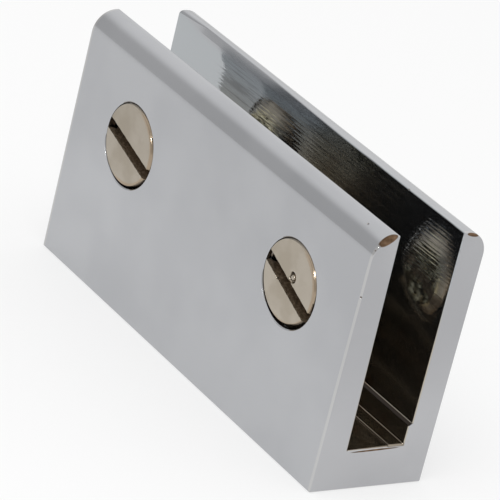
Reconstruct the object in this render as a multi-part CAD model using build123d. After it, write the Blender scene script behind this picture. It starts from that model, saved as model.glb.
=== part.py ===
from build123d import *
import os

# Glass U-bracket: a short, heavy brass channel that slips over the edge of a glass panel, with
# two slotted clamp screws in its front leg. Millimetres. The bracket stands on its base with the
# slot opening upwards: X runs along the slot, Y from the front leg to the back leg, and the
# origin is at the middle of the base's underside.

# Channel
channel_length = 48.0
channel_height = 25.0
base_thickness = 4.0

# Slot, cut for one thickness of glass. Its walls lean a little, and a second pass of the cutter
# opened out the back wall and the front of the floor, leaving a low step in each. A leg is named
# by its thickness at the rim, at the waist just above the wall step, and at the root.
glass_thickness = 6.0
mouth_clearance = 0.9
front_leg_rim = 2.5
front_leg_root = 3.0
back_leg_rim = 2.8
back_leg_waist = 2.68
back_leg_root = 3.05
wall_step_height = 1.92
wall_step_drop = 0.27
floor_step_height = 0.12
floor_step_width = 1.65

# Edges. The outer edge of each leg is rounded until only a narrow flat is left beside the slot.
rim_flat = 0.2
base_edge_radius = 0.15
end_edge_radius = 0.13
slot_edge_radius = 0.12

# Clamp screws and their holes
screw_diameter = 8.0
screw_length = 4.0
screw_end_distance = 10.0
screw_height = 15.45
screw_clearance = 0.05
screw_recess = 0.05
screw_rim_radius = 0.2
screw_point_diameter = 5.5
hole_mouth_break = 0.12

# Screwdriver slots. The two screws stopped at different angles, and each slot was sawn a little
# below the middle of its screw.
driver_slot_width = 1.17
driver_slot_depth = 1.5
driver_slots = {
    "clamp_screw_left": {"side": -1, "angle": 15.4, "offset": -0.34},
    "clamp_screw_right": {"side": 1, "angle": 20.5, "offset": -0.4},
}

# Places worked out from the sizes above
channel_depth = front_leg_rim + glass_thickness + mouth_clearance + back_leg_rim
front_face = -channel_depth / 2
back_face = channel_depth / 2
rim_radius = front_leg_rim - rim_flat
screw_radius = screw_diameter / 2
screw_from_middle = channel_length / 2 - screw_end_distance
cut_over = 1.0


def slot_outline():
    """Section of the slot in the YZ plane, from the front leg round the floor to the back leg."""
    top = channel_height + cut_over
    step_foot = base_thickness + wall_step_height
    step_head = step_foot + wall_step_drop
    front_lean = (front_leg_root - front_leg_rim) / (channel_height - base_thickness)
    back_lean = (back_leg_rim - back_leg_waist) / (channel_height - step_head)
    front_mouth = front_face + front_leg_rim - front_lean * cut_over
    front_root = front_face + front_leg_root
    back_root = back_face - back_leg_root
    back_waist = back_face - back_leg_waist
    back_mouth = back_face - back_leg_rim - back_lean * cut_over
    floor_edge = back_root - floor_step_width
    return [
        (front_mouth, top),
        (front_root, base_thickness),
        (floor_edge, base_thickness),
        (floor_edge, base_thickness + floor_step_height),
        (back_root, base_thickness + floor_step_height),
        (back_root, step_foot),
        (back_waist, step_head),
        (back_mouth, top),
    ]


def along_x(outline, length):
    """A YZ outline carried along X, equally far each side of the middle."""
    wire = Polyline([(0, y, z) for y, z in outline], close=True)
    return extrude(make_face(wire), amount=length / 2, dir=(1, 0, 0), both=True)


def turned(profile):
    """A solid of revolution about Y from its profile of (radius, y) points."""
    wire = Polyline([(r, y, 0) for r, y in profile], close=True)
    return revolve(make_face(wire), Axis.Y)


def at_screw(side):
    """The place on the front leg of the screw on one side: -1 is left, 1 is right."""
    return Pos(side * screw_from_middle, 0, screw_height)


def make_blank():
    """The solid bar before the slot: outer rims rounded, base and end edges eased."""
    blank = Pos(Z=channel_height / 2) * Box(channel_length, channel_depth, channel_height)
    blank = fillet(blank.edges().filter_by(Axis.X).group_by(Axis.Z)[-1], rim_radius)
    blank = fillet(blank.edges().filter_by(Axis.X).group_by(Axis.Z)[0], base_edge_radius)
    return fillet(blank.faces().filter_by(Axis.X).edges(), end_edge_radius)


def make_screw_hole():
    """The cutter for one screw hole, flared where it leaves the front face."""
    hole_radius = screw_radius + screw_clearance
    flare = hole_mouth_break + cut_over
    leg_side = front_face + front_leg_root + cut_over
    return turned(
        [
            (0, front_face - cut_over),
            (hole_radius + flare, front_face - cut_over),
            (hole_radius, front_face + hole_mouth_break),
            (hole_radius, leg_side),
            (0, leg_side),
        ]
    )


def make_channel():
    """The channel in one piece: slot, eased slot edges and two screw holes."""
    blank = make_blank()
    slot = along_x(slot_outline(), channel_length + 2 * cut_over)
    channel = blank - slot
    channel = fillet(new_edges(blank, slot, combined=channel), slot_edge_radius)
    for driver_slot in driver_slots.values():
        channel -= at_screw(driver_slot["side"]) * make_screw_hole()
    return channel


def make_screw(driver_slot):
    """One headless screw: rounded rim, sawn slot, and a long chamfer down to its flat point."""
    head = front_face + screw_recess
    tip = head + screw_length
    point_radius = screw_point_diameter / 2
    point_chamfer = screw_radius - point_radius
    screw = turned(
        [
            (0, head),
            (screw_radius, head),
            (screw_radius, tip - point_chamfer),
            (point_radius, tip),
            (0, tip),
        ]
    )
    screw = fillet(screw.edges().filter_by(GeomType.CIRCLE).group_by(Axis.Y)[0], screw_rim_radius)
    saw = Box(screw_diameter + 2 * cut_over, 2 * driver_slot_depth, driver_slot_width)
    screw -= Pos(Y=head) * Rot(Y=driver_slot["angle"]) * Pos(Z=driver_slot["offset"]) * saw
    return at_screw(driver_slot["side"]) * screw


os.makedirs("parts", exist_ok=True)
export_step(make_channel(), "parts/u_channel.step")
for name, driver_slot in driver_slots.items():
    export_step(make_screw(driver_slot), "parts/" + name + ".step")
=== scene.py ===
import bmesh
import bpy
import math
import numpy as np
from mathutils import Matrix, Vector


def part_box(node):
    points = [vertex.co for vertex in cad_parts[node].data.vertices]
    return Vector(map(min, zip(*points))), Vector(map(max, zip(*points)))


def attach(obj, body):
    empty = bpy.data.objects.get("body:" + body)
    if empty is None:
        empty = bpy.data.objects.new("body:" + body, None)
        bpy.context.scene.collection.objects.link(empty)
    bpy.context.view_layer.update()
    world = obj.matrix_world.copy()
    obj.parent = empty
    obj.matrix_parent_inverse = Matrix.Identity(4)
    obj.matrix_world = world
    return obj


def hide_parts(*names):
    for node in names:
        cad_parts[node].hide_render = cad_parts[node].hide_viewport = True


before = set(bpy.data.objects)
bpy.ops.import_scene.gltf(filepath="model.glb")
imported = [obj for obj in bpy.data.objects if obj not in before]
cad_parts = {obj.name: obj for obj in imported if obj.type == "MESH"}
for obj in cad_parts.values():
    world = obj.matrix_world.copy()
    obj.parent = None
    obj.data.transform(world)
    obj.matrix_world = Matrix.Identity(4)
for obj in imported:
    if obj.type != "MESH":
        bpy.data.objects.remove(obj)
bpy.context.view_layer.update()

# The channel
# A short bar of brass, milled to a deep slot and chromium plated. The outside was buffed to a soft
# mirror. Inside the slot the plating is thin and warm, over the lines that the cutter left.

mm = 0.001
channel_low, channel_high = (np.array(corner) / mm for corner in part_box("u_channel"))
half_length = channel_high[0]
front_face = channel_low[1]
back_face = channel_high[1]
top = channel_high[2]

base_thickness = 4.0
front_leg = {"rim": 2.5, "root": 3.0}
back_leg = {"rim": 2.8, "waist": 2.68, "root": 3.05}
wall_step = {"foot": 5.92, "head": 6.19}
floor_step = {"width": 1.65, "height": 0.12}
rim_radius = 2.3
mouth = {"radius": 0.12, "lean": 0.36, "lean_from": 23.1, "full": -9.0, "ends": 7.0}
mouth_end = {"radius": 0.46, "from": -19.0, "to": -23.4}
cutter = {"low": 17.5, "pitch": 0.36, "depth": 0.0026, "least_bite": 0.4, "swell": 0.006}
cutter_bites = [{"at": 17, "width": 6, "more": 1.1}, {"at": -1, "width": 8, "more": 0.6}]
rim_wear = {
    "front": {"depth": 0.42, "angle": 27, "spread": 18},
    "back": {"depth": 0.16, "angle": 14, "spread": 16},
}
leg_from_middle = 2.5
least_radius = 0.012
section_gap = 1.5

# Heights of the points down each inner wall, close together where the cutter left its lines
back_wall_z = np.arange(24.3, wall_step["head"] + 0.3, -0.045)
front_wall_z = np.arange(base_thickness + 0.5, top - 0.2, 0.4)


def eased(value, low, high):
    """0 below low and 1 above high, with a smooth step between: t squared times (3 - 2 t)."""
    t = np.clip((value - low) / (high - low), 0, 1)
    return t * t * (3 - 2 * t)


def front_wall(z):
    """Y of the front leg's inner wall at height z: a straight lean from root to rim."""
    share = (z - base_thickness) / (top - base_thickness)
    return front_face + front_leg["root"] + share * (front_leg["rim"] - front_leg["root"])


def back_wall(z):
    """Y of the back leg's inner wall above its step: a straight lean from waist to rim."""
    share = (z - wall_step["head"]) / (top - wall_step["head"])
    return back_face - back_leg["waist"] - share * (back_leg["rim"] - back_leg["waist"])


def mouth_lean(x, z):
    """How far the buffed back wall leans out near the rim: a parabola in z, faded along x."""
    rise = np.clip((z - mouth["lean_from"]) / (top - mouth["lean_from"]), 0, 1)
    fade = eased(-x, -mouth["ends"], -mouth["full"]) * (1 - at_mouth_end(x))
    return mouth["lean"] * rise**2 * fade


def at_mouth_end(x):
    """1 at the left end, where the mouth is plainly rounded, and 0 where it leans."""
    return eased(-x, -mouth_end["from"], -mouth_end["to"])


def turned_corner(before, corner, after, radius, steps):
    """An arc of that radius tangent to both sides of a corner: centre + radius (cos t, sin t)."""
    back, ahead = before - corner, after - corner
    back, ahead = back / np.linalg.norm(back), ahead / np.linalg.norm(ahead)
    half_angle = math.acos(float(np.clip(back @ ahead, -1, 1))) / 2
    middle = (back + ahead) / np.linalg.norm(back + ahead)
    centre = corner + middle * radius / math.sin(half_angle)
    start = corner + back * radius / math.tan(half_angle) - centre
    finish = corner + ahead * radius / math.tan(half_angle) - centre
    t = np.linspace(0, 1, steps + 1)[:, None]
    swept = math.pi - 2 * half_angle
    return centre + (start * np.sin((1 - t) * swept) + finish * np.sin(t * swept)) / math.sin(swept)


def section_corners(mouth_y, mouth_radius):
    """The corners of the YZ section in order from the front foot: y, z, radius and steps.

    Then, for the side that follows each corner, the way in which it is cut back at the ends of the
    channel, and its end rounds on the left and on the right.
    """
    root = back_face - back_leg["root"]
    floor_high = base_thickness + floor_step["height"]
    floor_edge = root - floor_step["width"]
    step_head = wall_step["head"]
    return {
        "front foot": (front_face, 0, 0.14, 6, (0, 1), 0.05, 0.12),
        "back foot": (back_face, 0, 0.14, 6, (-1, 0), 0.05, 0.1),
        "back rim": (back_face, top, rim_radius, 30, (0, -1), 0.5, 0.11),
        "back mouth": (mouth_y, top, mouth_radius, 8, (1, 0), 0.15, 0.13),
        "wall step": (back_wall(step_head), step_head, 0.05, 3, (1, 0), 0.15, 0.13),
        "wall step foot": (root, wall_step["foot"], 0.05, 5, (1, 0), 0.15, 0.13),
        "back root": (root, floor_high, 0.1, 5, (0, -1), 0.12, 0.26),
        "floor step": (floor_edge, floor_high, 0.1, 5, (0, -1), 0.12, 0.26),
        "floor step foot": (floor_edge, base_thickness, 0.015, 2, (0, -1), 0.12, 0.26),
        "front root": (front_wall(base_thickness), base_thickness, 0.1, 4, (-1, 0), 0.08, 0.08),
        "front mouth": (front_wall(top), top, 0.05, 4, (0, -1), 0.06, 0.11),
        "front rim": (front_face, top, rim_radius, 30, (1, 0), 0.05, 0.18),
    }


def crossing(corner, before, after, moved, moved_next):
    """Where the two sides of a corner cross once each has moved: a pair of line equations."""
    sides = np.stack([corner - before, corner - after], axis=1)
    share = np.linalg.solve(sides, moved_next - moved)
    return corner + moved + sides[:, 0] * share[0]


def wall_points(corner_before, x, shift):
    """Points along an inner wall: its lean, moved by the shift, with the waves that milling left.

    The waves fade out within 2 mm of the floor and 1.4 mm of the rim.
    """
    if corner_before == "back mouth":
        z = back_wall_z
        wall = back_wall(z) + mouth_lean(x, z)
        depth = wall_swell(x, z) + cutter_lines(x, z)
    else:
        z = front_wall_z
        wall = front_wall(z)
        depth = wall_swell(x, z)
    depth = depth * eased(z, base_thickness + 0.4, base_thickness + 2)
    depth = depth * eased(-z, 0.4 - top, 1.4 - top)
    return np.stack([wall + shift + depth, z], axis=1)


def section_at(x, end=0, cut=0.0):
    """The section at x, with its sides cut back into the metal by that share of their end rounds.

    Gives the closed outline and the end round at each of its points.
    """
    mouth_radius = mouth["radius"] + at_mouth_end(x) * (mouth_end["radius"] - mouth["radius"])
    corners = section_corners(back_wall(top) + mouth_lean(x, top), mouth_radius)
    places = np.array([corner[:2] for corner in corners.values()], float)
    rounds = np.array([corner[6] if end > 0 else corner[5] for corner in corners.values()])
    moves = cut * rounds[:, None] * np.array([corner[4] for corner in corners.values()], float)
    before, after = np.roll(places, 1, axis=0), np.roll(places, -1, axis=0)
    was_moved, was_round = np.roll(moves, 1, axis=0), np.roll(rounds, 1)
    met = [crossing(*five) for five in zip(places, before, after, was_moved, moves)]
    parts, end_rounds = [], []
    for i, (name, (_, _, radius, steps, *_)) in enumerate(corners.items()):
        ahead, behind = after[i] - places[i], places[i] - before[i]
        bulges = 1 if behind[0] * ahead[1] > behind[1] * ahead[0] else -1
        shrunk = np.linalg.norm(moves[i] - was_moved[i]) / math.sqrt(2)
        radius = max(radius - bulges * shrunk, least_radius)
        is_wall = name in ("back mouth", "front root")
        run = wall_points(name, x, moves[i][0]) if is_wall else [met[(i + 1) % len(met)]]
        parts.append(turned_corner(met[i - 1], met[i], run[0], radius, steps))
        end_rounds.append(np.linspace(was_round[i], rounds[i], steps + 1))
        if is_wall:
            parts.append(run)
            end_rounds.append(np.full(len(run), rounds[i]))
    return np.concatenate(parts), np.concatenate(end_rounds)


def cutter_lines(x, z):
    """Depth of the lines that the cutter left: two sine waves down the wall, faded out low down.

    They are deeper where the cutter bit, by a bell curve along x for each bite.
    """
    fade = eased(z, cutter["low"], cutter["low"] + 3)
    strength = cutter["least_bite"]
    for bite in cutter_bites:
        strength += bite["more"] * math.exp(-(((x - bite["at"]) / bite["width"]) ** 2))
    phase = 2 * math.pi * z / cutter["pitch"] + 0.9 * math.sin(x / 6)
    return cutter["depth"] * fade * strength * (np.sin(phase) + 0.6 * np.sin(1.63 * phase + 1))


def wall_swell(x, z):
    """The slow swell of a milled wall: a product of two long sine waves, along and down the wall."""
    return cutter["swell"] * math.sin(x / 2.9 + 1) * np.sin(z / 2.2 + x / 14)


def worn_rim(outline, side):
    """How deep the right end of a rim is worn, and its inward direction: a bell over its angle."""
    from_axis = outline - [side * (back_face - rim_radius), top - rim_radius]
    angle = np.degrees(np.arctan2(side * from_axis[:, 0], from_axis[:, 1]))
    wear = rim_wear["front"] if side < 0 else rim_wear["back"]
    depth = wear["depth"] * np.exp(-(((angle - wear["angle"]) / wear["spread"]) ** 2))
    depth = depth * (side * outline[:, 0] > leg_from_middle)
    return depth, -from_axis / np.linalg.norm(from_axis, axis=1)[:, None]


def channel_rows(end_steps=7):
    """The section carried along X, with r(1 - sin t) of length and r(1 - cos t) of metal off an end."""
    rows = []
    for end in (-1, 1):
        part = []
        for t in np.linspace(0, math.pi / 2, end_steps + 1):
            cut = 1 - math.cos(t)
            outline, end_round = section_at(end * half_length, end, cut)
            if end > 0:
                for side in (-1, 1):
                    depth, inward = worn_rim(outline, side)
                    outline = outline + inward * depth[:, None] * cut
                    end_round = end_round + depth
            x = end * (half_length - end_round * (1 - math.sin(t)))
            part.append(np.column_stack([x, outline]))
        rows.append(np.stack(part[::end]))
    between = np.arange(3 - half_length, half_length - 2, section_gap)
    middle = [np.insert(section_at(x)[0], 0, x, axis=1) for x in between]
    return np.concatenate([rows[0], np.stack(middle), rows[1]])


def surface(name, rows, ends):
    """A mesh from a grid of points, joined row to row and round each row.

    Its ends are "capped" with an n-gon each, "looped" to one another, or "centred" on the last row.
    """
    index = np.arange(rows.shape[0] * rows.shape[1]).reshape(rows.shape[:2])
    if ends == "looped":
        index = np.concatenate([index, index[:1]])
    ahead = np.roll(index, -1, axis=1)
    quads = np.stack([index[:-1], ahead[:-1], ahead[1:], index[1:]], axis=-1).reshape(-1, 4)
    faces = quads.tolist()
    if ends == "capped":
        faces.append(index[0][::-1].tolist())
    if ends != "looped":
        faces.append(index[-1].tolist())
    mesh = bpy.data.meshes.new(name)
    mesh.from_pydata((rows.reshape(-1, 3) * mm).tolist(), [], faces)
    piece = bpy.data.objects.new(name, mesh)
    bpy.context.scene.collection.objects.link(piece)
    return piece


def screw_place(node):
    """Middle of one screw, in millimetres: its x and z from its box, its y at the front face."""
    low, high = (np.array(corner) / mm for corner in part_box(node))
    return np.array([(low[0] + high[0]) / 2, front_face, (low[2] + high[2]) / 2])


sides = 144
turn = np.arange(sides) / sides
round_x, round_z = np.cos(2 * math.pi * turn), np.sin(2 * math.pi * turn)
thread = {"pitch": 1.25, "depth": 0.62, "crest": 0.3}
thread_start = {"clamp_screw_left": 0.77, "clamp_screw_right": 0.66}
hole = {"bore": 4.05, "length": 4.6, "thread_from": 0.5, "thread_to": 2.5}
flare = {"width": 0.13, "uneven": 0.55, "toward": 30}
ring = {"width": 0.5, "height": 0.1, "uneven": 0.3, "root": 0.3, "clear_of_bore": 0.005}


def thread_wave(y, start):
    """Depth of a V thread from 0 to 1: a triangle wave of y / pitch - turn, its crest cut flat."""
    phase = (y / thread["pitch"] - turn + start) % 1
    return np.clip((np.abs(2 * phase - 1) - thread["crest"]) / (1 - thread["crest"]), 0, 1)


def lathe(name, place, y, radius):
    """A turned body about Y from grids of y and radius, closed at both ends."""
    rows = np.stack([place[0] + radius * round_x, y + 0 * radius, place[2] + radius * round_z], axis=2)
    return surface(name, rows[:, ::-1], "capped")


def tap_cutter(place, start):
    """The tapped hole: a plain bore, V grooves cut outward, and a mouth flared more on one side."""
    y = np.arange(front_face, front_face + hole["length"], 0.1)
    y = np.concatenate([[front_face - 1], y])[:, None]
    inside = y - front_face
    threaded = eased(inside, hole["thread_from"], hole["thread_from"] + 0.1)
    threaded = threaded * eased(-inside, -hole["thread_to"], 0.3 - hole["thread_to"])
    bore = hole["bore"] + thread["depth"] * thread_wave(y, start - 0.5) * threaded
    uneven = 1 + flare["uneven"] * np.cos(2 * math.pi * turn - math.radians(flare["toward"]))
    flared = np.clip(flare["width"] * uneven - inside, 0, 1)
    return lathe("tap", place, y, np.maximum(bore, hole["bore"] + flared))


def raised_ring(place):
    """The lip that the tap pushed up round a hole: a half sine bead on the leaning inner wall.

    Its height swells three times round the hole, by a sine, and its root is sunk in the wall.
    """
    across = np.linspace(1, 0, 13)
    height = ring["height"] * np.sin(math.pi * across) ** 1.2
    outward = ring["width"] * np.concatenate([across, across[::-1]])
    radius = hole["bore"] + ring["clear_of_bore"] + outward
    height = np.concatenate([height, 0 * height - ring["root"]])
    x = place[0] + radius * round_x[:, None]
    z = place[2] + radius * round_z[:, None]
    uneven = 1 + ring["uneven"] * np.sin(6 * math.pi * turn + 1)[:, None] * (height > 0)
    return surface("ring", np.stack([x, front_wall(z) + height * uneven, z], axis=2), "looped")


sliver_width = 0.002
sort_along = Vector((1, 0.61803, 0.41421))


def combine(piece, other, operation):
    """Cuts the other body out of the piece, or joins it on, for good, and merges away any slivers.

    The points are sorted along an odd direction first, so that each run merges the same ones.
    """
    step = piece.modifiers.new("combine", "BOOLEAN")
    step.operation = operation
    step.solver = "EXACT"
    step.object = other
    graph = bpy.context.evaluated_depsgraph_get()
    finished = bpy.data.meshes.new_from_object(piece.evaluated_get(graph), depsgraph=graph)
    shell = bmesh.new()
    shell.from_mesh(finished)
    shell.verts.sort(key=lambda point: point.co.dot(sort_along))
    bmesh.ops.remove_doubles(shell, verts=shell.verts, dist=sliver_width * mm)
    bmesh.ops.dissolve_degenerate(shell, edges=shell.edges, dist=sliver_width * mm)
    shell.to_mesh(finished)
    shell.free()
    piece.modifiers.clear()
    piece.data = finished
    bpy.data.objects.remove(other)


def smooth_metal(piece, sharp_angle):
    """Smooth shading that keeps edges past that angle sharp, with flat faces left truly flat."""
    mesh = piece.data
    mesh.polygons.foreach_set("use_smooth", np.ones(len(mesh.polygons), bool))
    mesh.set_sharp_from_angle(angle=math.radians(sharp_angle))
    even = piece.modifiers.new("even normals", "WEIGHTED_NORMAL")
    even.keep_sharp = True
    even.weight = 100


channel = surface("bracket_channel", channel_rows(), "capped")
for node, start in thread_start.items():
    combine(channel, raised_ring(screw_place(node)), "UNION")
    combine(channel, tap_cutter(screw_place(node), start), "DIFFERENCE")
smooth_metal(channel, 32)
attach(channel, "channel")
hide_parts("u_channel")


def add(tree, kind, **settings):
    """A shader node with its properties and plain input values set."""
    node = tree.nodes.new("ShaderNode" + kind)
    for key, value in settings.items():
        if key in node.inputs:
            node.inputs[key].default_value = value
        else:
            setattr(node, key, value)
    return node


def fed(tree, socket, value):
    """Links a socket to another, or sets it to a number or a plain RGB."""
    if isinstance(value, bpy.types.NodeSocket):
        tree.links.new(value, socket)
    elif isinstance(value, tuple) and len(socket.default_value) == 4:
        socket.default_value = (*value, 1)
    else:
        socket.default_value = value


def worked(tree, operation, *values):
    """A math node on sockets or numbers, and its result."""
    node = add(tree, "Math", operation=operation)
    for socket, value in zip(node.inputs, values):
        fed(tree, socket, value)
    return node.outputs[0]


def ramped(tree, value, low, high, out_low=0.0, out_high=1.0):
    """A value taken smoothly from one range to another."""
    node = add(tree, "MapRange", interpolation_type="SMOOTHSTEP")
    for socket, number in zip(list(node.inputs)[:5], (value, low, high, out_low, out_high)):
        fed(tree, socket, number)
    return node.outputs["Result"]


def mixed(tree, share, first, second):
    """A colour mix by a mask. Each colour is a socket or a plain RGB."""
    node = add(tree, "Mix", data_type="RGBA")
    for socket, value in ((node.inputs[0], share), (node.inputs[6], first), (node.inputs[7], second)):
        fed(tree, socket, value)
    return node.outputs[2]


def blended(tree, share, first, second):
    """A number mix by a mask."""
    node = add(tree, "Mix", data_type="FLOAT")
    for socket, value in ((node.inputs[0], share), (node.inputs[2], first), (node.inputs[3], second)):
        fed(tree, socket, value)
    return node.outputs[0]


def in_millimetres(tree):
    """Object coordinates, turned from metres to millimetres."""
    place = add(tree, "TexCoord")
    lay = add(tree, "Mapping", Scale=(1 / mm, 1 / mm, 1 / mm))
    tree.links.new(place.outputs["Object"], lay.inputs["Vector"])
    return lay.outputs[0]


def axes(tree, vector):
    """The x, y and z of a vector."""
    parts = add(tree, "SeparateXYZ")
    tree.links.new(vector, parts.inputs[0])
    return parts.outputs["X"], parts.outputs["Y"], parts.outputs["Z"]


def spot(tree, vector, centre, size, tilt=0.0):
    """A mask that is 1 at a point and 0 past an ellipsoid round it, tilted in degrees about X."""
    lay = add(tree, "Mapping", vector_type="TEXTURE", Location=centre, Scale=size)
    lay.inputs["Rotation"].default_value = (math.radians(tilt), 0, 0)
    tree.links.new(vector, lay.inputs["Vector"])
    distance = add(tree, "VectorMath", operation="LENGTH")
    tree.links.new(lay.outputs[0], distance.inputs[0])
    return ramped(tree, distance.outputs["Value"], 1.0, 0.6)


def effect(name, inputs, outputs):
    """An empty shader node group with named sockets: its tree, what goes in and what comes out."""
    tree = bpy.data.node_groups.new(name, "ShaderNodeTree")
    for label, kind in inputs:
        tree.interface.new_socket(label, in_out="INPUT", socket_type="NodeSocket" + kind)
    for label in outputs:
        tree.interface.new_socket(label, in_out="OUTPUT", socket_type="NodeSocketFloat")
    return tree, tree.nodes.new("NodeGroupInput").outputs, tree.nodes.new("NodeGroupOutput").inputs


def placed(tree, group, **values):
    """A node group put in a tree with its own values, and its outputs."""
    node = tree.nodes.new("ShaderNodeGroup")
    node.node_tree = group
    for label, value in values.items():
        fed(tree, node.inputs[label], value)
    return node.outputs


def noise(tree, vector, detail, roughness):
    """Fractal noise, about 0.3 to 0.7, one blotch to each unit of the vector."""
    node = add(tree, "TexNoise", Scale=1.0, Detail=detail, Roughness=roughness)
    tree.links.new(vector, node.inputs["Vector"])
    return node.outputs[0]


def scaled(tree, vector, factor):
    """A vector times a number or a socket."""
    node = add(tree, "VectorMath", operation="SCALE")
    tree.links.new(vector, node.inputs[0])
    fed(tree, node.inputs["Scale"], factor)
    return node.outputs[0]


def make_plate_clouds():
    """Plating's soft clouds and fine specks: noise at one size, and at a twelfth of that size."""
    tree, goes_in, comes_out = effect(
        "plate clouds", [("Position", "Vector"), ("Size", "Float")], ["Clouds", "Specks"]
    )
    small = scaled(tree, goes_in["Position"], worked(tree, "DIVIDE", 1.0, goes_in["Size"]))
    tree.links.new(noise(tree, small, 3.0, 0.5), comes_out["Clouds"])
    tree.links.new(noise(tree, scaled(tree, small, 12.0), 5.0, 0.65), comes_out["Specks"])
    return tree


def make_fine_scratches():
    """Height of fine scratches along X: noise drawn out to a length and a width."""
    tree, goes_in, comes_out = effect(
        "fine scratches",
        [("Position", "Vector"), ("Length", "Float"), ("Width", "Float")],
        ["Height"],
    )
    x, y, z = axes(tree, goes_in["Position"])
    drawn = add(tree, "CombineXYZ")
    tree.links.new(worked(tree, "DIVIDE", x, goes_in["Length"]), drawn.inputs[0])
    tree.links.new(worked(tree, "DIVIDE", y, goes_in["Width"]), drawn.inputs[1])
    tree.links.new(worked(tree, "DIVIDE", z, goes_in["Width"]), drawn.inputs[2])
    tree.links.new(noise(tree, drawn.outputs[0], 3.0, 0.6), comes_out["Height"])
    return tree


def make_wear_and_highlight_group():
    """A mask along an edge, for wear and for a painted highlight: its nearness less a threshold that
    noise makes uneven.
    """
    tree, goes_in, comes_out = effect(
        "wear and highlight", [("Nearness", "Float"), ("Unevenness", "Float"), ("Amount", "Float")], ["Wear"]
    )
    ragged = worked(tree, "MULTIPLY_ADD", goes_in["Unevenness"], 0.8, 0.1)
    edge_mask = worked(tree, "SUBTRACT", goes_in["Nearness"], ragged)
    edge_mask = ramped(tree, edge_mask, -0.1, 0.35)
    tree.links.new(worked(tree, "MULTIPLY", edge_mask, goes_in["Amount"]), comes_out["Wear"])
    return tree


plate_clouds = make_plate_clouds()
fine_scratches = make_fine_scratches()
wear_and_highlight_group = make_wear_and_highlight_group()

chrome = {
    "dull": (0.452, 0.458, 0.474),
    "bright": (0.482, 0.488, 0.504),
    # the edge tone is a painted highlight, lighter than the plate, for the rounded end edges
    "edge": (0.56, 0.555, 0.55),
}
slot_plate_and_shade = {
    "mouth": (0.455, 0.475, 0.49),
    "deep": (0.47, 0.43, 0.36),
    "stain": (0.36, 0.26, 0.18),
    "scored": (0.2, 0.19, 0.19),
    # the ledge tone, nearly black, is painted shade under the wall step
    "ledge": (0.035, 0.028, 0.023),
    "floor": (0.25, 0.21, 0.17),
}
bare_brass = {"dark": (0.10, 0.06, 0.035), "light": (0.23, 0.145, 0.09)}
chrome_roughness = {"outside": (0.15, 0.2), "in_slot": (0.13, 0.05), "specks": 0.06, "worn": 0.42}
chrome_relief = {"clouds": 0.028, "slot_clouds": 0.006, "slot_lines": 0.003, "nick": 0.04, "worn": 0.01}

# The heights between which each tone or finish in the slot comes in
slot_zones = {
    "mouth": (12.0, 20.0),
    "stains": (14.0, 8.0),
    "scores": (17.5, 21.0),
    "polish": (9.0, 14.0),
    "floor": (4.3, 4.15),
}
worn_spots = [
    {"centre": (half_length - 0.2, -4.68, 24.55), "size": (0.5, 1.3, 0.42), "tilt": 30},
    {"centre": (half_length - 0.05, 4.3, 24.75), "size": (0.25, 0.85, 0.2), "tilt": -10},
    {"centre": (half_length, 0, 3.77), "size": (0.2, 3.3, 0.1), "tilt": 1},
]
nicks = [
    {"centre": (23.95, -5.93, 23.75), "size": (0.2, 0.15, 0.17)},
    {"centre": (20.95, -4.9, 24.72), "size": (0.12, 0.1, 0.1)},
    {"centre": (23.9, -6.05, 19.25), "size": (0.12, 0.1, 0.1)},
    {"centre": (15.4, 3.32, 24.95), "size": (0.12, 0.1, 0.1)},
]


def slot_mask(tree, y, z):
    """1 on the slot's walls and floor, 0 outside: the least of the distances past its three sides."""
    front_lean = (front_leg["root"] - front_leg["rim"]) / (top - base_thickness)
    back_lean = (back_leg["rim"] - back_leg["waist"]) / (top - wall_step["head"])
    past_front = worked(tree, "SUBTRACT", worked(tree, "MULTIPLY_ADD", z, front_lean, y), front_wall(0))
    step = add(tree, "MapRange")
    heights = (wall_step["foot"], wall_step["head"])
    depths = (back_face - back_leg["root"], back_face - back_leg["waist"])
    for socket, value in zip(list(step.inputs)[:5], (z, *heights, *depths)):
        fed(tree, socket, value)
    lean = worked(tree, "MULTIPLY_ADD", z, -back_lean, back_wall(0))
    past_back = worked(tree, "SUBTRACT", worked(tree, "MINIMUM", lean, step.outputs["Result"]), y)
    past_floor = worked(tree, "SUBTRACT", z, base_thickness)
    least = worked(tree, "MINIMUM", worked(tree, "MINIMUM", past_front, past_back), past_floor)
    return ramped(tree, least, -0.14, -0.03)


def any_spot(tree, vector, spots):
    """The highest of several spots' masks."""
    most, *others = [spot(tree, vector, **values) for values in spots]
    for mask in others:
        most = worked(tree, "MAXIMUM", most, mask)
    return most


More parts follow.
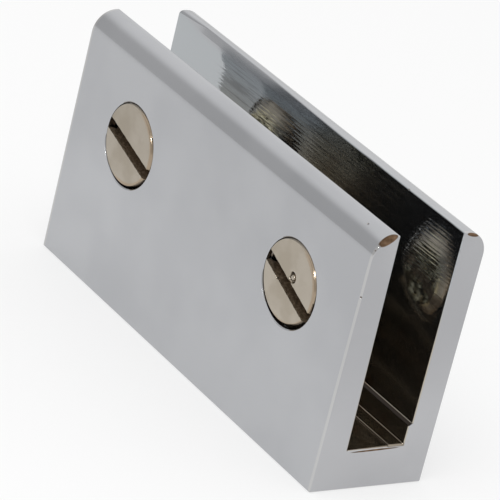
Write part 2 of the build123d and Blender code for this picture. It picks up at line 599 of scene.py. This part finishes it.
def make_chrome():
    """Chromium plate: cloudy polish outside, warm and scratched in the slot, brass where worn, with a
    painted highlight on the end edges and painted shade on the ledge.
    """
    material = bpy.data.materials.new("chromium plate on brass")
    material.use_nodes = True
    tree = material.node_tree
    shader = tree.nodes["Principled BSDF"]
    here = in_millimetres(tree)
    x, y, z = axes(tree, here)
    in_slot = slot_mask(tree, y, z)
    broad = placed(tree, plate_clouds, Position=here, Size=9.0)
    close = placed(tree, plate_clouds, Position=here, Size=2.4)
    fine = placed(tree, plate_clouds, Position=here, Size=0.7)
    lines = placed(tree, fine_scratches, Position=here, Length=8.0, Width=0.3)["Height"]

    # The outside, with a painted highlight along its rounded end edges
    from_middle = worked(tree, "ABSOLUTE", x)
    on_end = ramped(tree, from_middle, half_length - 0.03, half_length - 0.005)
    end_edge = worked(
        tree, "SUBTRACT", ramped(tree, from_middle, half_length - 0.34, half_length - 0.2), on_end
    )
    # Painted highlight: the rounded end edges are given a lighter colour than the plate
    edge_mask = placed(tree, wear_and_highlight_group, Nearness=end_edge, Unevenness=broad["Specks"], Amount=0.75)["Wear"]
    outside = mixed(tree, ramped(tree, broad["Clouds"], 0.35, 0.65), chrome["dull"], chrome["bright"])
    outside = mixed(tree, worked(tree, "MULTIPLY", on_end, 0.04), outside, bare_brass["light"])
    outside = mixed(tree, edge_mask, outside, chrome["edge"])

    # The slot, from its mouth down to its floor
    near_mouth = ramped(tree, z, *slot_zones["mouth"])
    slot_tone = mixed(tree, near_mouth, slot_plate_and_shade["deep"], slot_plate_and_shade["mouth"])
    stained = ramped(tree, close["Clouds"], 0.52, 0.66)
    stained = worked(tree, "MULTIPLY", stained, ramped(tree, z, *slot_zones["stains"]))
    slot_tone = mixed(tree, worked(tree, "MULTIPLY", stained, 0.8), slot_tone, slot_plate_and_shade["stain"])
    scored = ramped(tree, lines, 0.53, 0.62)
    scored = worked(tree, "MULTIPLY", scored, ramped(tree, z, *slot_zones["scores"]))
    scored = worked(tree, "MULTIPLY", scored, ramped(tree, x, -17.0, -12.0))
    slot_tone = mixed(tree, worked(tree, "MULTIPLY", scored, 0.5), slot_tone, slot_plate_and_shade["scored"])
    # Painted shade: the ledge under the wall step is made nearly black
    ledge_shade_mask = worked(
        tree,
        "MULTIPLY",
        ramped(tree, z, wall_step["foot"] - 0.05, wall_step["foot"]),
        ramped(tree, z, wall_step["head"] - 0.01, wall_step["head"] - 0.06),
    )
    ledge_shade_mask = worked(tree, "MULTIPLY", ledge_shade_mask, ramped(tree, y, 2.9, 3.0))
    slot_tone = mixed(tree, ledge_shade_mask, slot_tone, slot_plate_and_shade["ledge"])
    on_floor = worked(tree, "MULTIPLY", ramped(tree, z, *slot_zones["floor"]), 0.75)
    slot_tone = mixed(tree, on_floor, slot_tone, slot_plate_and_shade["floor"])
    colour = mixed(tree, in_slot, outside, slot_tone)

    # Spots worn to the brass, and nicks
    ragged = ramped(tree, close["Clouds"], 0.3, 0.55, 0.6, 1.0)
    worn = worked(tree, "MULTIPLY", any_spot(tree, here, worn_spots), ragged)
    worn = ramped(tree, worn, 0.3, 0.75)
    brown = mixed(tree, ramped(tree, fine["Clouds"], 0.4, 0.75), bare_brass["dark"], bare_brass["light"])
    colour = mixed(tree, worn, colour, brown)

    nicked = any_spot(tree, here, nicks)
    colour = mixed(tree, worked(tree, "MULTIPLY", nicked, 0.8), colour, bare_brass["dark"])
    tree.links.new(colour, shader.inputs["Base Color"])
    tree.links.new(worked(tree, "MULTIPLY_ADD", in_slot, -0.014, 1.0), shader.inputs["Metallic"])

    # Polish and relief
    rough = ramped(tree, broad["Clouds"], 0.3, 0.7, *chrome_roughness["outside"])
    rough_slot = ramped(tree, z, *slot_zones["polish"], *chrome_roughness["in_slot"])
    specks = ramped(tree, close["Specks"], 0.4, 0.7, 0.0, chrome_roughness["specks"])
    rough = blended(tree, in_slot, rough, worked(tree, "ADD", rough_slot, specks))
    rough = blended(tree, worn, rough, chrome_roughness["worn"])
    tree.links.new(rough, shader.inputs["Roughness"])

    height = worked(tree, "MULTIPLY", broad["Clouds"], chrome_relief["clouds"])
    slot_height = worked(tree, "MULTIPLY", lines, chrome_relief["slot_lines"])
    slot_height = worked(
        tree, "MULTIPLY_ADD", close["Clouds"], chrome_relief["slot_clouds"], slot_height
    )
    height = blended(tree, in_slot, height, slot_height)
    for mask, dent in ((nicked, chrome_relief["nick"]), (worn, chrome_relief["worn"])):
        height = worked(tree, "SUBTRACT", height, worked(tree, "MULTIPLY", mask, dent))
    bump = add(tree, "Bump", Strength=1.0, Distance=mm)
    tree.links.new(height, bump.inputs["Height"])
    tree.links.new(bump.outputs[0], shader.inputs["Normal"])
    return material


channel.data.materials.clear()
channel.data.materials.append(make_chrome())

# The clamp screws
# Two headless screws turned from brass bar and nickel plated, each with a driver slot sawn after
# the plating. They sit flush in the tapped holes of the front leg and press the glass to the back.

screw_sizes = {"radius": 4.0, "rim": 0.06, "point": 2.75, "side_from": 0.42, "full_thread_from": 1.2}
saw = {"width": 1.17, "depth": 1.5, "taper": 0.08, "broken_edge": 0.02, "wavy_to": 0.3, "over": 0.6}
rim_bevel = {"tilt": 57.0, "narrow": 0.02, "wide": 0.25}
driver_slots = {
    "clamp_screw_left": {
        "body": "left_screw",
        "angle": 15.4,
        "offset": -0.34,
        "bevel_toward": 35.0,
        "notch": 0.5,
        "nick": 0.0,
        "pip": 0.0,
        "tone": 0.92,
    },
    "clamp_screw_right": {
        "body": "right_screw",
        "angle": 20.5,
        "offset": -0.4,
        "bevel_toward": 35.0,
        "notch": 0.62,
        "nick": 0.2,
        "pip": 0.3,
        "tone": 1.0,
    },
}
pip = {"along": -0.04, "above": 0.72, "ring": 0.37, "width": 0.13}
nick = {"along": -1.65, "width": 0.13}
nickel = {
    "dull": (0.385, 0.34, 0.275),
    "bright": (0.45, 0.405, 0.34),
    "rim": (0.36, 0.26, 0.165),
}
sawn_brass_and_gap_shade = {
    "dark": (0.2, 0.155, 0.11),
    "light": (0.46, 0.37, 0.27),
    # the gap shade tone is painted shade, nearly black, for the gap round the screw
    "gap_shade_tone": (0.03, 0.024, 0.018),
}
point_brass = (0.8, 0.74, 0.53)
nickel_roughness = {"plate": (0.16, 0.24), "point": 0.16, "sawn": 0.6}
nickel_relief = {"clouds": 0.006, "lines": 0.002}


def rough_point(x, z):
    """The uneven end of a screw: six sine waves of random bearing and length, added together."""
    draw = np.random.default_rng(11)
    height = np.zeros(np.broadcast(x, z).shape)
    for _ in range(6):
        bearing, length, shift = draw.uniform(0, 6.3), draw.uniform(0.7, 1.7), draw.uniform(0, 6.3)
        along = x * math.cos(bearing) + z * math.sin(bearing)
        height += 0.07 * length * np.sin(2 * math.pi * along / length + shift)
    return height


def screw_body(name, place, low, high, start, detail):
    """A screw turned about Y: face, small arc, bevel, threaded side, chamfer and point, pole to pole.

    The thread runs out through the rim, which is therefore notched on one side, and the bevel is
    wider on the side that wore. A pip of the parting tool is a bell curve round a small circle.
    """
    full, arc, point = screw_sizes["radius"], screw_sizes["rim"], screw_sizes["point"]
    tilt = math.radians(rim_bevel["tilt"])
    facing = (1 + np.cos(2 * math.pi * turn - math.radians(detail["bevel_toward"]))) / 2
    bevel = rim_bevel["narrow"] + (rim_bevel["wide"] - rim_bevel["narrow"]) * facing**2
    notch = thread["depth"] * thread_wave(np.array([[low]]), start) * detail["notch"]
    face_edge = full - notch - arc * math.sin(tilt) - bevel * math.cos(tilt)
    t = np.linspace(0, tilt, 6)[:, None]
    side_from, full_thread_from = screw_sizes["side_from"], screw_sizes["full_thread_from"]
    side_y = np.arange(low + side_from, high, 0.06)[:, None]
    point_r = np.arange(point, 0.05, -0.08)[:, None]
    bevel_y = low + arc * (1 - math.cos(tilt)) + bevel * math.sin(tilt)
    share = eased(side_y - low, side_from, full_thread_from)
    run_out = detail["notch"] + (1 - detail["notch"]) * share
    threaded = full - thread["depth"] * thread_wave(side_y, start) * run_out
    rows = [
        (np.linspace(0.01, 1, 90)[:, None] * face_edge, low + 0 * turn),
        (face_edge + arc * np.sin(t[1:]), low + arc * (1 - np.cos(t[1:]))),
        (face_edge + arc * math.sin(tilt) + bevel * math.cos(tilt), bevel_y),
        (np.minimum(point + high - side_y, threaded), side_y),
        (point_r + 0 * turn, high + 0 * turn),
    ]
    radius = np.concatenate([np.broadcast_to(r, (r.shape[0], sides)) for r, _ in rows])
    y = np.concatenate([np.broadcast_to(y, (r.shape[0], sides)) for r, y in rows])
    x, z = radius * round_x, radius * round_z
    angle = math.radians(detail["angle"])
    along = x * math.cos(angle) - z * math.sin(angle)
    above = x * math.sin(angle) + z * math.cos(angle)
    from_pip = np.hypot(along - pip["along"], above - pip["above"])
    dip = detail["pip"] * np.exp(-(((from_pip - pip["ring"]) / pip["width"]) ** 2))
    worn_point = rough_point(x, z) * eased(-radius, -point, 0.4 - point) * (y >= high)
    return lathe(name, place, y + dip * (y < low + 0.001) - np.abs(worn_point), radius)


def saw_cut(place, head, detail):
    """The saw's path: a tapered section with a broken edge, carried across the screw.

    Near the face each side wanders by two small sine waves, and the lower one has a nick, which is
    a bell curve along the slot.
    """
    half, edge, over = saw["width"] / 2, saw["broken_edge"], saw["over"]
    across = np.array([-half - edge - over, -half - edge, -half, -half, -half + saw["taper"]])
    depth = np.array([head - over, head, head + edge, head + saw["wavy_to"], head + saw["depth"]])
    is_wavy = np.array([1, 1, 1, 0, 0])
    along = np.linspace(-5, 5, 161)[:, None]
    lower = 0.012 * np.sin(along * 7.3) + 0.01 * np.sin(along * 17 + 1)
    lower = lower + detail["nick"] * np.exp(-(((along - nick["along"]) / nick["width"]) ** 2))
    upper = 0.012 * np.sin(along * 5.9 + 2) + 0.01 * np.sin(along * 19)
    lower_side = across - lower * is_wavy
    upper_side = (-across + upper * is_wavy)[:, ::-1]
    across = np.concatenate([lower_side, upper_side], axis=1)
    depth = np.concatenate([depth, depth[::-1]])
    angle = math.radians(detail["angle"])
    direction = np.array([math.cos(angle), 0, -math.sin(angle)])
    upward = np.array([math.sin(angle), 0, math.cos(angle)])
    rows = place * [1, 0, 1] + along[:, :, None] * direction
    rows = rows + (across + detail["offset"])[:, :, None] * upward
    return surface("saw", rows + depth[None, :, None] * np.array([0, 1, 0]), "capped")


def make_nickel(name, place, low, high, detail):
    """Nickel plate, warm and faintly mottled, worn to brass at the rim and bare in the saw cut, with
    painted shade in the gap down its threaded side.
    """
    material = bpy.data.materials.new(name)
    material.use_nodes = True
    tree = material.node_tree
    shader = tree.nodes["Principled BSDF"]
    lay = add(tree, "Mapping", vector_type="TEXTURE", Location=tuple(place * [1, 0, 1]))
    lay.inputs["Rotation"].default_value = (0, math.radians(detail["angle"]), 0)
    tree.links.new(in_millimetres(tree), lay.inputs["Vector"])
    here = lay.outputs[0]
    x, y, z = axes(tree, here)
    broad = placed(tree, plate_clouds, Position=here, Size=2.6)
    lines = placed(tree, fine_scratches, Position=here, Length=4.0, Width=0.2)["Height"]

    from_axis = worked(tree, "SQRT", worked(tree, "MULTIPLY_ADD", x, x, worked(tree, "MULTIPLY", z, z)))
    nearness = worked(tree, "MULTIPLY", ramped(tree, from_axis, 3.15, 3.8), ramped(tree, x, -2.5, 1.5))
    rim = placed(tree, wear_and_highlight_group, Nearness=nearness, Unevenness=broad["Specks"], Amount=0.6)["Wear"]
    from_cut = worked(tree, "ABSOLUTE", worked(tree, "SUBTRACT", z, detail["offset"]))
    half = saw["width"] / 2
    sawn = worked(
        tree,
        "MULTIPLY",
        ramped(tree, from_cut, half + 0.05, half + 0.03),
        ramped(tree, y, low + 0.03, low + 0.06),
    )
    at_point = ramped(tree, y, high - 0.25, high - 0.12)

    tones = [tuple(detail["tone"] * part for part in nickel[key]) for key in ("dull", "bright")]
    colour = mixed(tree, ramped(tree, broad["Clouds"], 0.35, 0.65), *tones)
    colour = mixed(tree, rim, colour, nickel["rim"])
    if detail["pip"]:
        from_pip = add(tree, "VectorMath", operation="DISTANCE")
        tree.links.new(here, from_pip.inputs[0])
        from_pip.inputs[1].default_value = (pip["along"], low, pip["above"])
        off_ring = worked(tree, "SUBTRACT", from_pip.outputs["Value"], pip["ring"])
        off_ring = worked(tree, "ABSOLUTE", off_ring)
        stain = worked(tree, "MULTIPLY", ramped(tree, off_ring, 0.17, 0.06), 0.75)
        colour = mixed(tree, stain, colour, sawn_brass_and_gap_shade["dark"])

    # Painted shade in the gap down the threaded side, from just below the bevel, which is wider on one
    # side
    toward = math.radians(detail["bevel_toward"] + detail["angle"])
    facing = worked(tree, "MULTIPLY", x, math.cos(toward))
    facing = worked(tree, "MULTIPLY_ADD", z, math.sin(toward), facing)
    facing = worked(tree, "MULTIPLY_ADD", worked(tree, "DIVIDE", facing, from_axis), 0.5, 0.5)
    bevel_y = worked(tree, "MULTIPLY", facing, facing)
    bevel_y = worked(tree, "MULTIPLY_ADD", bevel_y, 0.2, low + 0.05)
    painted_gap_shade = ramped(tree, worked(tree, "SUBTRACT", y, bevel_y), 0.0, 0.1)
    painted_gap_shade = worked(tree, "MULTIPLY", painted_gap_shade, ramped(tree, y, high - 1.4, high - 1.6))
    colour = mixed(tree, worked(tree, "MULTIPLY", painted_gap_shade, 0.9), colour, sawn_brass_and_gap_shade["gap_shade_tone"])
    colour = mixed(tree, at_point, colour, point_brass)
    bare = mixed(tree, ramped(tree, broad["Specks"], 0.4, 0.65), sawn_brass_and_gap_shade["dark"], sawn_brass_and_gap_shade["light"])
    colour = mixed(tree, sawn, colour, bare)
    tree.links.new(colour, shader.inputs["Base Color"])
    shader.inputs["Metallic"].default_value = 1.0

    rough = ramped(tree, broad["Specks"], 0.35, 0.65, *nickel_roughness["plate"])
    rough = blended(tree, at_point, rough, nickel_roughness["point"])
    rough = blended(tree, sawn, rough, nickel_roughness["sawn"])
    tree.links.new(rough, shader.inputs["Roughness"])
    height = worked(tree, "MULTIPLY", broad["Clouds"], nickel_relief["clouds"])
    height = worked(tree, "MULTIPLY_ADD", lines, nickel_relief["lines"], height)
    bump = add(tree, "Bump", Strength=1.0, Distance=mm)
    tree.links.new(height, bump.inputs["Height"])
    tree.links.new(bump.outputs[0], shader.inputs["Normal"])
    return material


for node, detail in driver_slots.items():
    place = screw_place(node)
    low, high = (float(corner[1]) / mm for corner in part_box(node))
    name = node.replace("clamp_screw", "slotted_screw")
    screw = screw_body(name, place, low, high, thread_start[node], detail)
    combine(screw, saw_cut(place, low, detail), "DIFFERENCE")
    smooth_metal(screw, 34)
    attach(screw, detail["body"])
    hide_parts(node)
    screw.data.materials.clear()
    screw.data.materials.append(make_nickel("nickel plate, " + name, place, low, high, detail))

# The floor and the room
# A plain pale table top that runs to a white surround. The walls of the room are a little greyer
# than the table near the horizon, which puts the soft dark band along the bright rims.

ring_radii = [3000.0, 400.0, 100.0, 1.0]
below_base = 0.02
table_paint = {"tone": 0.86, "glow": 0.55, "glow_in_metal": 0.97}
light_patch = {"from": 13.0, "to": 27.0, "near": 0.99, "far": 0.83}
grey_wall = {"toward_back": 0.6, "low": 0.28, "high": 0.72, "dark": 0.63, "light": 0.99}
room = {"unseen": 0.85, "seen": 1.0}


def background_rays(tree):
    """1 for camera, glossy and transmission rays, so that metal sees what the camera sees."""
    path = add(tree, "LightPath")
    seen = worked(tree, "MAXIMUM", path.outputs["Is Camera Ray"], path.outputs["Is Glossy Ray"])
    return path, worked(tree, "MAXIMUM", seen, path.outputs["Is Transmission Ray"])


turns = np.arange(64) / 64
rings = np.array(ring_radii)[:, None, None]
around = np.stack([np.cos(2 * math.pi * turns), np.sin(2 * math.pi * turns), 0 * turns], axis=1)
floor = surface("table_top", rings * around + [0, 0, -below_base], "centred")

table = bpy.data.materials.new("pale table")
table.use_nodes = True
tree = table.node_tree
tree.nodes.clear()
path, seen = background_rays(tree)
x, y, _ = axes(tree, in_millimetres(tree))
off_end = worked(tree, "SUBTRACT", worked(tree, "ABSOLUTE", x), half_length)
off_side = worked(tree, "SUBTRACT", worked(tree, "ABSOLUTE", y), back_face)
apart = worked(tree, "MAXIMUM", off_end, off_side)
lit = ramped(tree, apart, *(light_patch[key] for key in ("from", "to", "near", "far")))
level = blended(tree, path.outputs["Is Glossy Ray"], table_paint["glow_in_metal"], lit)
tone = table_paint["tone"]
matt = add(tree, "BsdfDiffuse", Color=(tone, tone, tone, 1))
glow = add(tree, "Emission", Color=(1, 1, 1, 1))
tree.links.new(level, glow.inputs["Strength"])
share = add(tree, "MixShader")
tree.links.new(worked(tree, "MULTIPLY", seen, table_paint["glow"]), share.inputs[0])
tree.links.new(matt.outputs[0], share.inputs[1])
tree.links.new(glow.outputs[0], share.inputs[2])
out = add(tree, "OutputMaterial")
tree.links.new(share.outputs[0], out.inputs[0])
floor.data.materials.append(table)

world = bpy.data.worlds.new("white surround")
bpy.context.scene.world = world
world.use_nodes = True
tree = world.node_tree
tree.nodes.clear()
path, seen = background_rays(tree)
direction = add(tree, "TexCoord")
_, y, z = axes(tree, direction.outputs["Generated"])
height = worked(tree, "MULTIPLY_ADD", y, grey_wall["toward_back"], z)
wall = ramped(tree, height, *(grey_wall[key] for key in ("low", "high", "dark", "light")))
level = blended(tree, path.outputs["Is Glossy Ray"], room["seen"], wall)
sky = add(tree, "Background", Color=(1, 1, 1, 1))
tree.links.new(blended(tree, seen, room["unseen"], level), sky.inputs["Strength"])
out = add(tree, "OutputWorld")
tree.links.new(sky.outputs[0], out.inputs[0])

# The lamps and the camera
# One broad soft lamp overhead gives the shadow, and one small lamp just above the camera gives the
# glints on the screws' rims. The camera stands to the front right and looks down.

aim = Vector((0.14, -0.22, 11.42)) * mm
view = {"azimuth": 51.65, "elevation": 23.22, "distance": 0.32724, "roll": 14.20}


def bearing(azimuth, elevation):
    """The direction from the object towards a place seen at that azimuth and elevation."""
    turned, lift = math.radians(azimuth), math.radians(elevation)
    return Vector(
        (math.sin(turned) * math.cos(lift), -math.cos(turned) * math.cos(lift), math.sin(lift))
    )


def lamp(name, azimuth, elevation, distance, size, power, seen_in_metal):
    """A round area lamp that faces the object from that bearing."""
    data = bpy.data.lights.new(name, "AREA")
    data.shape = "DISK"
    data.size = size
    data.energy = power
    light = bpy.data.objects.new(name, data)
    bpy.context.scene.collection.objects.link(light)
    light.location = aim + bearing(azimuth, elevation) * distance
    light.rotation_euler = bearing(azimuth, elevation).to_track_quat("Z", "Y").to_euler()
    light.visible_glossy = seen_in_metal


lamp(
    "overhead soft lamp",
    azimuth=25,
    elevation=68,
    distance=0.7,
    size=0.5,
    power=1.6,
    seen_in_metal=False,
)
lamp(
    "lamp by the camera",
    azimuth=52.4,
    elevation=34.8,
    distance=0.36,
    size=0.022,
    power=0.12,
    seen_in_metal=True,
)

lens = bpy.data.cameras.new("camera")
lens.lens = 256.4
lens.sensor_width = 36
lens.clip_start = 0.01
camera = bpy.data.objects.new("camera", lens)
bpy.context.scene.collection.objects.link(camera)
toward = bearing(view["azimuth"], view["elevation"])
camera.location = aim + toward * view["distance"]
camera.rotation_mode = "QUATERNION"
upright = toward.to_track_quat("Z", "Y")
roll = Matrix.Rotation(math.radians(view["roll"]), 3, "Z").to_quaternion()
camera.rotation_quaternion = upright @ roll
bpy.context.scene.camera = camera
bpy.context.scene.view_settings.view_transform = "Standard"
